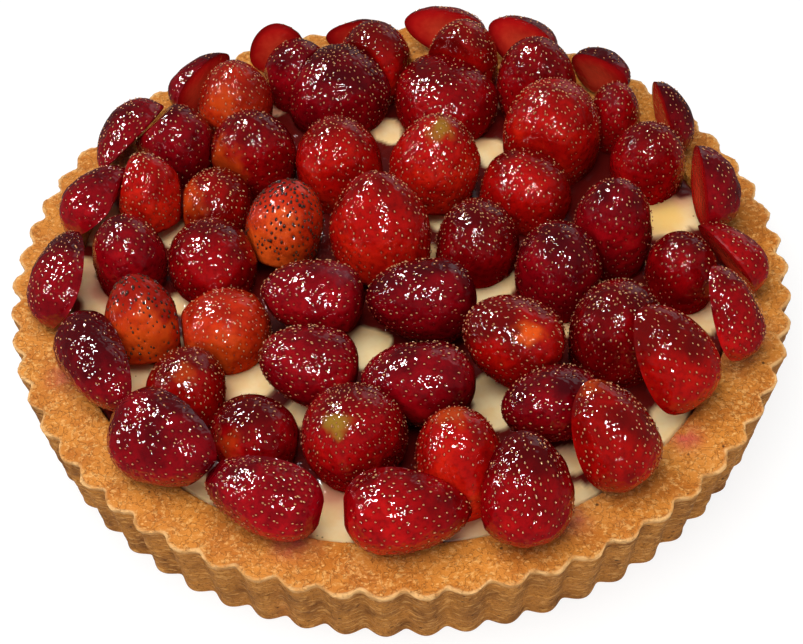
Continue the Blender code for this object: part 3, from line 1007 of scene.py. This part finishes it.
class BerryMesh:
    """Skin of one berry, triangulated round its seeds, with a pit under each.

    The mesh is drawn in the flattened skin: a plane with the tip at 0, in which small shapes keep
    their angles. Points of that plane are complex numbers.
    """

    SEED_SPACING = 0.0029
    SPACING_CHANGE = 0.0004       # from berry to berry
    CLOSER_AT_TIP = 0.0012
    TIP_REACH = 0.006
    SEED_JITTER = 0.00055
    SEEDS_LOST = 0.16             # share of the seeds that are missing
    LEAF_END = 0.06               # share of the length without seeds
    SKIN_SPACING = 0.00125        # between points of the skin away from the seeds
    RING_REACH = 0.00115          # of the rings of points round a seed
    CLEAR_OF_SEEDS = 0.00155
    EDGE_MARGIN = 0.0005
    EDGE_STEPS = 44
    PIT_REACH = 0.00075
    PIT_DEPTH = 0.00034
    DENT_DEPTH = 0.00050
    SMALL_DENT, LARGE_DENT = 0.009, 0.016
    SEED_SINK = 0.00036
    # How far in each ring of the closed end sits, and how far out it is lifted.
    CUT_RINGS = ((1.0, 0.0), (0.93, 0.0003), (0.80, 0.0005), (0.45, 0.0002), (0.16, -0.0002))
    SCAR_RINGS = ((0.72, -0.010), (0.40, 0.010), (0.16, 0.045))

    def __init__(self, berry: Strawberry) -> None:
        """Measure the berry's meridian and spread the seeds."""
        self.berry = berry
        self.random = np.random.default_rng(900 + berry.number)
        angle = np.linspace(0.0, math.pi, 500)
        self.share = 0.5 + 0.5 * np.cos(angle)
        self.radius = 0.5 * berry.width * berry.outline(self.share)
        height = (self.share - 0.5) * berry.length
        step = np.hypot(np.diff(self.radius), np.diff(height))
        self.along = np.concatenate([[0.0], np.cumsum(step)])
        middle = 0.5 * (self.radius[1:] + self.radius[:-1])
        growth = step[1:] / middle[1:]
        plane = self.radius[1] * np.exp(np.concatenate([[0.0], np.cumsum(growth)]))
        self.plane = np.concatenate([[0.0], plane])
        self.ring_area = 2.0 * math.pi * middle * step

    def spread(self, spacing: np.ndarray, phase: float) -> np.ndarray:
        """Spread points over the skin in a spiral.

        Args:
            spacing: Distance wanted between points, at each step of the meridian.
            phase: Turn of the first point.

        Returns:
            The points as complex numbers in the flattened skin, the tip at 0.
        """
        count = np.concatenate([[0.0], np.cumsum(self.ring_area / (0.866 * spacing[1:] ** 2))])
        index = np.arange(0.5, count[-1])
        along = np.interp(index, count, self.along)
        return (np.interp(along, self.along, self.plane)
                * np.exp(1j * (index * GOLDEN_TURN + phase)))

    def scale_at(self, spots: np.ndarray) -> np.ndarray:
        """Measure how the flattened skin is stretched.

        Args:
            spots: Points of the flattened skin.

        Returns:
            Flattened length for each metre of skin at each spot.
        """
        plane = np.abs(spots)
        radius = np.interp(plane, self.plane, self.radius)
        return np.maximum(plane, self.plane[1]) / np.maximum(radius, self.radius[1])

    def locate(self, spots: np.ndarray) -> tuple[np.ndarray, np.ndarray]:
        """Find where spots of the flattened skin lie on the berry.

        Args:
            spots: Points of the flattened skin.

        Returns:
            Their turns about the axis and their shares of the length.
        """
        turn = np.angle(spots)
        share = np.interp(np.abs(spots), self.plane, self.share)
        return turn, share

    def seeds(self) -> np.ndarray:
        """Spread the seeds, closer together toward the tip.

        Returns:
            Those that show, as points of the flattened skin.
        """
        tip = np.exp(-self.along / self.TIP_REACH)
        spacing = self.SEED_SPACING + self.SPACING_CHANGE * math.sin(self.berry.character)
        spots = self.spread(spacing - self.CLOSER_AT_TIP * tip, self.berry.character)
        jitter = self.random.normal(0.0, self.SEED_JITTER, (2, len(spots)))
        spots = spots + (jitter[0] + 1j * jitter[1]) * self.scale_at(spots)
        turn, share = self.locate(spots)
        found = self.random.uniform(0.0, 1.0, len(spots)) > self.SEEDS_LOST
        keep = found & (share > self.LEAF_END)
        if self.berry.half:
            keep &= (turn > 0.0) & (turn < math.pi)
            keep &= spots.imag > 0.0011 * self.scale_at(spots)
        world = self.berry.to_tart(self.berry.skin(turn, share))
        keep &= world[:, 2] > self.berry.floor + 0.0015
        for direction, limit in self.berry.presses:
            keep &= world @ direction < limit - GAP
        return spots[keep]

    def build(self, material: bpy.types.Material) -> tuple[bpy.types.Object, np.ndarray]:
        """Make the berry.

        Args:
            material: Finish of the skin.

        Returns:
            The piece, and the frames of its seeds as rows of place, tipward, sideways, outward.
        """
        berry = self.berry
        seeds = self.seeds()
        near = self.nearest(seeds, seeds, skip_self=True)
        reach = np.minimum(0.46 * near, self.RING_REACH)
        scale = self.scale_at(seeds)
        rings = [seeds]
        for size, count in ((0.48, 6), (1.0, 7)):
            for k in range(count):
                turn = 2.0 * math.pi * k / count + 0.7 * size
                rings.append(seeds + scale * reach * size * np.exp(1j * turn))
        fill = self.spread(np.full(len(self.along), self.SKIN_SPACING), 1.0)
        fill = fill[self.nearest(fill, seeds) > self.CLEAR_OF_SEEDS]
        spots = np.concatenate([*rings, fill])
        spots = spots[np.abs(spots) < self.plane[-1] - self.EDGE_MARGIN * self.scale_at(spots)]
        if berry.half:
            spots = spots[spots.imag > self.EDGE_MARGIN * self.scale_at(spots)]
            edge = self.half_edge()
        else:
            turns = np.arange(self.EDGE_STEPS) / self.EDGE_STEPS
            edge = self.plane[-1] * np.exp(2j * math.pi * turns)
        spots = np.concatenate([edge, spots])
        flat = [Vector((z.real, z.imag)) * 100.0 for z in spots]
        _, _, faces, origins, _, _ = delaunay_2d_cdt(flat, [], [], 0, 1e-7)
        faces = [tuple(origins[v][0] for v in face) for face in faces]
        turn, share = self.locate(spots)
        local = berry.skin(turn, share)
        if berry.half:
            local[:len(edge), 1] = 0.0
        pit = np.exp(-(self.nearest(spots, seeds) / self.PIT_REACH) ** 2)
        dent = (Noise(40 + berry.number).layers(local, self.SMALL_DENT, 3)
                + Noise(140 + berry.number).value(local / self.LARGE_DENT))
        dent = dent * (1.0 - smooth_step(0.60, 0.94, share)) - 0.3
        rise = self.DENT_DEPTH * dent - self.PIT_DEPTH * pit
        rise[:len(edge)] = 0.0
        local = local + self.normals(local, faces) * rise[:, None]
        local, faces, share, pit, cut, heart = self.close(local, faces, share, pit, len(edge))
        points = berry.squeeze(berry.to_tart(local))
        points[:, 2] = np.minimum(points[:, 2], solid_box[1][2])
        fields = self.paint(points, share, pit)
        fields.update(cut=cut, heart=heart)
        piece = make_piece(f"strawberry_{berry.number:02d}", points, faces, material,
                           fields)
        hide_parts(berry.node)
        return piece, self.seed_frames(seeds)

    def half_edge(self) -> np.ndarray:
        """Edge of a half in the flattened skin: along the cut, then round the shoulder."""
        steps = np.arange(0.0, self.along[-1], 0.0012)
        line = np.interp(steps, self.along, self.plane)
        arc = self.plane[-1] * np.exp(1j * np.linspace(0.0, math.pi, 23))
        return np.concatenate([line, arc, -line[:0:-1]])

    def nearest(self, spots: np.ndarray, seeds: np.ndarray, skip_self: bool = False) -> np.ndarray:
        """Measure over the skin to the nearest seed.

        Args:
            spots: Points of the flattened skin.
            seeds: Seeds in the flattened skin.
            skip_self: Whether the spots are the seeds themselves, each to be left out.

        Returns:
            Distance in metres from each spot.
        """
        away = np.abs(spots[:, None] - seeds[None, :]) / self.scale_at(seeds)[None, :]
        if skip_self:
            np.fill_diagonal(away, 1.0)
        return away.min(axis=1)

    @staticmethod
    def normals(points: np.ndarray, faces: list) -> np.ndarray:
        """Work out the unit normals of the vertices of a mesh of triangles.

        Args:
            points: Vertex positions.
            faces: Vertex numbers of each triangle.

        Returns:
            One normal for each vertex.
        """
        corners = np.array(faces)
        a, b, c = (points[corners[:, k]] for k in range(3))
        across = np.cross(b - a, c - a)
        total = np.zeros_like(points)
        for k in range(3):
            np.add.at(total, corners[:, k], across)
        return total / np.maximum(np.linalg.norm(total, axis=1, keepdims=True), 1e-12)

    def close(self, local: np.ndarray, faces: list, share: np.ndarray, pit: np.ndarray,
              edge: int) -> tuple:
        """Close the open end of the skin.

        A whole berry gets a hollow scar where the leaves were. A half gets its cut face, with its
        own vertices so that the edge stays crisp.

        Args:
            local: Points of the skin, the edge first.
            faces: Triangles of the skin.
            share: Share of the length of each point.
            pit: Pit field of each point.
            edge: Number of points of the edge.

        Returns:
            Points, faces, share, pit, cut and heart fields of the closed berry.
        """
        rim = local[:edge]
        centre = rim.mean(axis=0)
        half = self.berry.half
        heart = np.zeros(len(local))
        cut = np.zeros(len(local))
        previous = list(range(edge))
        rings = self.CUT_RINGS if half else self.SCAR_RINGS
        for inward, lift in rings:
            away = (0.0, -lift, 0.0) if half else (0.0, 0.0, lift * self.berry.length)
            ring = centre + (rim - centre) * inward + away
            start = len(local)
            local = np.vstack([local, ring])
            heart = np.append(heart, np.full(edge, 1.0 - inward))
            cut = np.append(cut, np.full(edge, half * min(1.0, 0.2 + 5.0 * (1.0 - inward))))
            current = list(range(start, start + edge))
            for k in range(edge if inward < 1.0 else 0):
                after = (k + 1) % edge
                faces.append((previous[after], previous[k], current[k], current[after]))
            previous = current
        faces.append(tuple(previous[::-1]))
        added = edge * len(rings)
        return (local, faces, np.append(share, np.tile(share[:edge], len(rings))),
                np.append(pit, np.zeros(added)), cut, heart)

    def paint(self, points: np.ndarray, share: np.ndarray,
              pit: np.ndarray) -> dict[str, np.ndarray]:
        """Work out the fields that the finish reads.

        Args:
            points: Points of the berry in the tart's frame.
            share: Share of the length of each point.
            pit: Pit field of each point.

        Returns:
            The field of tone and painted light, and the pit and mark fields.
        """
        berry = self.berry
        mood = 0.5 + 0.18 * math.sin(5.1 * berry.number)
        away = points - berry.place
        away = away / np.maximum(np.linalg.norm(away, axis=1, keepdims=True), 1e-9)
        # Painted light and shade on the tone: lighter facing front, darker facing back or up.
        tone_and_light = mood + 0.15 * (0.55 - share) - away @ np.array([0.05, 0.26, 0.16])
        fields = {"tone_and_light": tone_and_light, "pit": pit}
        for mark in Mark:
            fields[mark.value] = np.zeros(len(points))
        for number, mark, bearing, height, size, strength in MARKS:
            if number != berry.number:
                continue
            rise = math.radians(height)
            way = polar(bearing, math.cos(rise)) + (0.0, 0.0, math.sin(rise))
            angle = np.degrees(np.arccos(np.clip(away @ way, -1.0, 1.0)))
            ragged = angle + 0.45 * size * Noise(70).layers(points, 0.0035, 3)
            fields[mark.value] = strength * (1.0 - smooth_step(0.15 * size, size, ragged))
        return fields

    def seed_frames(self, seeds: np.ndarray) -> np.ndarray:
        """Find the places and axes of the seeds that show, in the tart's frame.

        Args:
            seeds: Seeds in the flattened skin.

        Returns:
            For each seed four rows: its place, tipward, sideways and outward axes.
        """
        berry = self.berry
        turn, share = self.locate(seeds)
        here = berry.skin(turn, share)
        tipward = berry.skin(turn, np.minimum(share + 0.01, 0.9999)) - here
        sideways = np.stack([-np.sin(turn), np.cos(turn), np.zeros(len(turn))], axis=1)
        outward = np.cross(sideways, tipward)
        outward /= np.linalg.norm(outward, axis=1, keepdims=True)
        tipward = np.cross(outward, sideways)
        tipward /= np.linalg.norm(tipward, axis=1, keepdims=True)
        place = berry.to_tart(here - outward * self.SEED_SINK)
        moved = np.linalg.norm(berry.squeeze(place.copy()) - place, axis=1)
        shown = moved < GAP
        return np.stack([place, tipward @ berry.axes.T, sideways @ berry.axes.T,
                         outward @ berry.axes.T], axis=1)[shown]


@dataclass
class Seeds:
    """Many seeds joined in one mesh, each a small closed drop with a ridge, lying in its pit.

    A seed is a ring of six points round its rim, and two points of the ridge above it.
    """

    name: str
    length: float = 0.00086
    width: float = 0.00050
    height: float = 0.00038
    rim_lift: float = 0.25

    def build(self, frames: np.ndarray, material: bpy.types.Material) -> bpy.types.Object:
        """Make the seeds.

        Args:
            frames: Place, tipward, sideways and outward axes of each seed.
            material: Finish of the seeds.

        Returns:
            The joined piece.
        """
        random = np.random.default_rng(12)
        turns = math.pi / 3.0 * np.arange(6)
        rim = np.stack([0.5 * np.cos(turns), np.sin(turns) * (0.55 - 0.14 * np.cos(turns)),
                        np.full(6, self.rim_lift)], axis=1)
        front, back = (0.20, 0.0, 1.0), (-0.24, 0.0, 1.0)
        template = np.array([*rim, front, back])
        count = len(frames)
        size = random.uniform(0.75, 1.2, (count, 1, 1))
        shape = template[None] * (self.length, self.width, self.height) * size
        points = frames[:, 0][:, None] + np.einsum("nij,njk->nik", shape, frames[:, 1:])
        points[:, :, 2] = np.minimum(points[:, :, 2], solid_box[1][2])
        faces = [(5, 4, 3, 2, 1, 0), (0, 1, 6), (1, 2, 7, 6), (2, 3, 7), (3, 4, 7), (4, 5, 6, 7),
                 (5, 0, 6)]
        stride = len(template)
        joined = [tuple(v + stride * i for v in face) for i in range(count) for face in faces]
        # Random tone, plus painted shade by facing: seeds that face down take the second colour.
        age_and_facing_shade = random.uniform(0.0, 1.0, count) ** 1.2 + 0.9 * (0.50 - frames[:, 3, 2])
        age = np.repeat(np.clip(age_and_facing_shade, 0.0, 1.0), stride)
        return make_piece(self.name, points.reshape(-1, 3), joined, material,
                          {"age": age})


@dataclass
class FruitTopping:
    """All the strawberries and their seeds."""

    finishes: tuple[BerryFinish, ...] = (
        BerryFinish("burgundy", (0.055, 0.000, 0.002), (0.25, 0.001, 0.005), (0.46, 0.004, 0.008)),
        BerryFinish("crimson", (0.075, 0.000, 0.001), (0.30, 0.001, 0.003), (0.52, 0.005, 0.005)),
        BerryFinish("scarlet", (0.12, 0.001, 0.001), (0.43, 0.003, 0.002), (0.70, 0.018, 0.005)),
        BerryFinish("orange", (0.26, 0.006, 0.002), (0.58, 0.030, 0.005), (0.80, 0.110, 0.012)),
    )
    dark_seeded: tuple[int, ...] = (34, 57)

    def build(self) -> list[bpy.types.Object]:
        """Make the berries, then the pale seeds and the dark ones."""
        materials = {finish.tone: finish.make() for finish in self.finishes}
        pieces, pale, dark = [], [], []
        for berry in FruitLayout().build():
            piece, frames = BerryMesh(berry).build(materials[berry.tone])
            pieces.append(piece)
            (dark if berry.number in self.dark_seeded else pale).append(frames)
        straw = SeedFinish("straw_seeds", (0.74, 0.40, 0.18), (0.30, 0.030, 0.010)).make()
        black = SeedFinish("black_seeds", (0.012, 0.006, 0.004), (0.10, 0.03, 0.01)).make()
        pieces.append(Seeds("seeds_pale").build(np.concatenate(pale), straw))
        pieces.append(Seeds("seeds_dark", 0.0014, 0.0009).build(np.concatenate(dark), black))
        return pieces


# ---------------------------------------------------------------------------
# Custard
# ---------------------------------------------------------------------------
@dataclass
class CustardFilling:
    """The custard, drawn up a little where it and its glaze meet a berry."""

    radius: float = 0.1173
    bottom_radius: float = 0.1159
    top: float = 0.0279
    bottom: float = 0.0063
    rings: int = 116
    columns: int = 340
    climb: float = 0.0011         # how far the custard is drawn up a berry
    climb_reach: float = 0.0009
    swell: float = 0.00025
    juice_reach: float = 0.005
    shade_reach: float = 0.0016
    yellow_spot: tuple[float, float] = (15.0, 0.101)
    yellow_reach: float = 0.009

    def build(self, berries: list[bpy.types.Object]) -> bpy.types.Object:
        """Make the filling.

        Args:
            berries: The finished berries, whose feet the custard meets.

        Returns:
            The piece that stands for the solid custard.
        """
        turn = np.arange(self.columns) * 2.0 * math.pi / self.columns
        radius = np.linspace(self.radius, 0.0006, self.rings)
        grid = np.array([np.stack([r * np.cos(turn), r * np.sin(turn),
                                   np.full(self.columns, self.top)], axis=1) for r in radius])
        points = grid.reshape(-1, 3)
        away = self.to_fruit(points, berries)
        wave = Noise(21).layers(points, 0.012, 2)
        points[:, 2] += self.swell * wave + self.climb * np.exp(-away / self.climb_reach)
        points[:self.columns, 2] = self.top
        blotch = 0.5 + 0.5 * Noise(22).layers(points, 0.012, 3)
        distance = np.hypot(points[:, 0], points[:, 1])
        outer = smooth_step(0.070, 0.105, distance)
        near = np.exp(-away / self.juice_reach)
        juice = np.clip((0.15 + 0.85 * outer) * blotch * near * 1.9, 0.0, 0.8)
        shade = 0.75 * np.exp(-away / self.shade_reach)
        # Painted shade: dark glaze wherever the custard is not bare.
        syrup_and_shade = 1.0 - self.bare(points)
        yellow = level_distance(points, *self.yellow_spot)
        yolk = 0.8 * np.exp(-(yellow / self.yellow_reach) ** 4)
        skirt = np.stack([self.bottom_radius * np.cos(turn), self.bottom_radius * np.sin(turn),
                          np.full(self.columns, self.bottom)], axis=1)
        points = np.vstack([skirt, points, [(0.0, 0.0, self.bottom), (0.0, 0.0, self.top)]])
        fields = {"juice": juice * (1.0 - yolk), "shade": shade, "syrup_and_shade": syrup_and_shade, "yolk": yolk}
        fields = {name: np.concatenate([np.zeros(self.columns), held, (0.0, 0.0)])
                  for name, held in fields.items()}
        faces = stack_faces(self.rings + 1, self.columns)
        piece = make_piece("custard_filling", points, faces, CustardFinish().make(),
                           fields)
        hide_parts("custard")
        piece.visible_glossy = False
        return piece

    def bare(self, points: np.ndarray) -> np.ndarray:
        """Work out where the custard is free of the dark glaze that paints the shade.

        Args:
            points: Points of the custard's top.

        Returns:
            1 where it is bare, 0 under syrup, for each point.
        """
        ragged = 0.0022 * Noise(23).layers(points, 0.007, 2)
        free = np.zeros(len(points))
        for bearing, distance, reach in BARE_CUSTARD:
            away = level_distance(points, bearing, distance * MM)
            edge = (reach + 1.0) * MM - away + ragged
            free = np.maximum(free, smooth_step(-0.0008, 0.0012, edge))
        return free

    def to_fruit(self, points: np.ndarray, berries: list[bpy.types.Object]) -> np.ndarray:
        """Measure from the custard's top to the fruit.

        Args:
            points: Points of the custard's top.
            berries: The finished pieces, of which the berries' feet count.

        Returns:
            Distance from each point to the nearest foot of a berry.
        """
        feet = []
        for piece in berries:
            if piece.name.startswith("strawberry"):
                feet += [v.co.copy() for v in piece.data.vertices if v.co.z < self.top + 0.0022]
        tree = KDTree(len(feet))
        for index, foot in enumerate(feet):
            tree.insert(foot, index)
        tree.balance()
        return np.array([tree.find(point)[2] for point in points])


# ---------------------------------------------------------------------------
# Studio
# ---------------------------------------------------------------------------
@dataclass(frozen=True)
class Lamp:
    """A square lamp that faces the tart, and either glints in the glaze, or lights, or both."""

    name: str
    place: tuple[float, float, float]
    size: float
    power: float
    glints: bool = True
    lights: bool = True
    colour: tuple[float, float, float] = (1.0, 0.97, 0.92)

    def hang(self) -> None:
        """Hang the lamp in the scene."""
        data = bpy.data.lights.new(self.name, "AREA")
        data.size = self.size
        data.energy = self.power
        data.color = self.colour
        lamp = bpy.data.objects.new(self.name, data)
        lamp.location = self.place
        toward = Vector((0.0, 0.0, 0.03)) - Vector(self.place)
        lamp.rotation_euler = toward.to_track_quat("-Z", "Y").to_euler()
        lamp.visible_glossy = self.glints
        lamp.visible_diffuse = self.lights
        bpy.context.scene.collection.objects.link(lamp)


@dataclass
class Studio:
    """A pale floor, lamps and the camera.

    The small lamps only glint in the glaze, and the broad ones light the food, so that the glints
    stay small and the reds stay deep.
    """

    LAMPS = (
        Lamp("key", (-0.58, 0.47, 1.00), 0.15, 16.0, lights=False),
        Lamp("side", (-1.00, -0.05, 0.62), 0.13, 5.0, lights=False),
        Lamp("overhead", (0.10, -0.70, 0.95), 0.15, 8.0, lights=False),
        Lamp("window", (0.75, 1.20, 0.55), 1.00, 1.6, colour=(0.95, 0.94, 1.0)),
        Lamp("sky", (-0.25, -0.15, 1.10), 1.10, 16.0, glints=False),
        Lamp("front", (0.0, -1.25, 0.50), 0.90, 5.0, glints=False),
    )

    floor_half: float = 3.0
    floor_drop: float = 0.0001
    elevation: float = math.radians(46.8)
    distance: float = 0.7238
    aim_height: float = 0.030
    tilt: float = math.radians(-1.355)
    roll: float = math.radians(-2.03)
    lens: float = 90.2

    def build(self) -> None:
        """Set the whole studio up."""
        self.add_floor()
        self.add_world()
        for lamp in self.LAMPS:
            lamp.hang()
        self.add_camera()
        bpy.context.scene.view_settings.view_transform = "Standard"

    def add_floor(self) -> None:
        """Lay a wide pale floor under the tart."""
        half = self.floor_half
        mesh = bpy.data.meshes.new("floor")
        mesh.from_pydata([(-half, -half, 0.0), (half, -half, 0.0), (half, half, 0.0),
                          (-half, half, 0.0)], [], [(0, 1, 2, 3)])
        floor = bpy.data.objects.new("floor", mesh)
        floor.location.z = -self.floor_drop
        bpy.context.scene.collection.objects.link(floor)
        sketch = Sketch("floor")
        sketch.set(Base_Color=(0.18, 0.18, 0.18), Roughness=0.9,
                   Emission_Color=(1.0, 1.0, 1.0, 1.0), Emission_Strength=0.84)
        mesh.materials.append(sketch.material)
        floor.visible_glossy = False

    def add_world(self) -> None:
        """Light everything a little from all round."""
        world = bpy.data.worlds.new("studio")
        world.use_nodes = True
        background = world.node_tree.nodes["Background"]
        background.inputs["Color"].default_value = (1.0, 1.0, 1.0, 1.0)
        background.inputs["Strength"].default_value = 0.10
        bpy.context.scene.world = world

    def add_camera(self) -> None:
        """Look down at the tart from its front."""
        data = bpy.data.cameras.new("camera")
        data.lens = self.lens
        camera = bpy.data.objects.new("camera", data)
        pitch = math.radians(90.0) - self.elevation + self.tilt
        place = Matrix.Translation((0.0, -self.distance * math.cos(self.elevation),
                                    self.aim_height + self.distance * math.sin(self.elevation)))
        camera.matrix_world = (place @ Matrix.Rotation(pitch, 4, "X")
                               @ Matrix.Rotation(self.roll, 4, "Z"))
        bpy.context.scene.collection.objects.link(camera)
        bpy.context.scene.camera = camera


def main() -> None:
    """Build the tart piece by piece and report each one."""
    logging.basicConfig(level=logging.INFO, format="%(message)s")
    pieces = [PastryCase().build()]
    pieces += FruitTopping().build()
    pieces.append(CustardFilling().build(pieces))
    total = 0
    for piece in pieces:
        piece.data.calc_loop_triangles()
        count = len(piece.data.loop_triangles)
        total += count
        log.info("%s: %d triangles", piece.name, count)
    log.info("all pieces: %d triangles", total)
    Studio().build()


if __name__ == "__main__":
    main()
